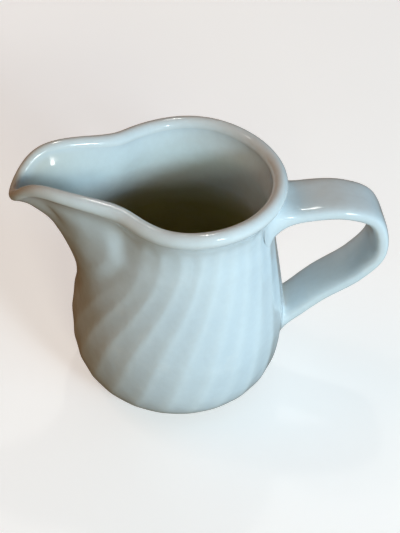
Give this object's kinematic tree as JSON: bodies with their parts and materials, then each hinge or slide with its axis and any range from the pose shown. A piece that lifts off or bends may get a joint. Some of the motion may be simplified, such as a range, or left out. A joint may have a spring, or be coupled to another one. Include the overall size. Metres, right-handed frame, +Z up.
{
  "type": "porcelain cream jug",
  "caption": "Small swirl-fluted porcelain cream jug with a flaring pouring spout, a rolled rim and a flat strap handle.",
  "frame": {"origin": "under the middle of the jug's box, on the surface that it stands on; the jug's turning axis stands 7.3 mm towards -X from it", "axes": "+Z up, the spout points along -X and the handle along +X, so X is the longest extent"},
  "size_m": [0.135, 0.0798, 0.0956],
  "materials": {
    "porcelain_glaze": "glossy",
    "spout_glaze": "glossy",
    "rim_glaze": "glossy",
    "handle_glaze": "glossy",
    "slip_fillet_glaze": "glossy",
    "unglazed_bisque": "matte"
  },
  "bodies": {
    "root": {"jug_body": "porcelain_glaze", "pouring_spout": "spout_glaze", "rim_lip": "rim_glaze", "handle_strap": "handle_glaze", "upper_handle_joint": "slip_fillet_glaze", "lower_handle_joint": "slip_fillet_glaze", "foot_ring": "unglazed_bisque"}
  },
  "joints": []
}
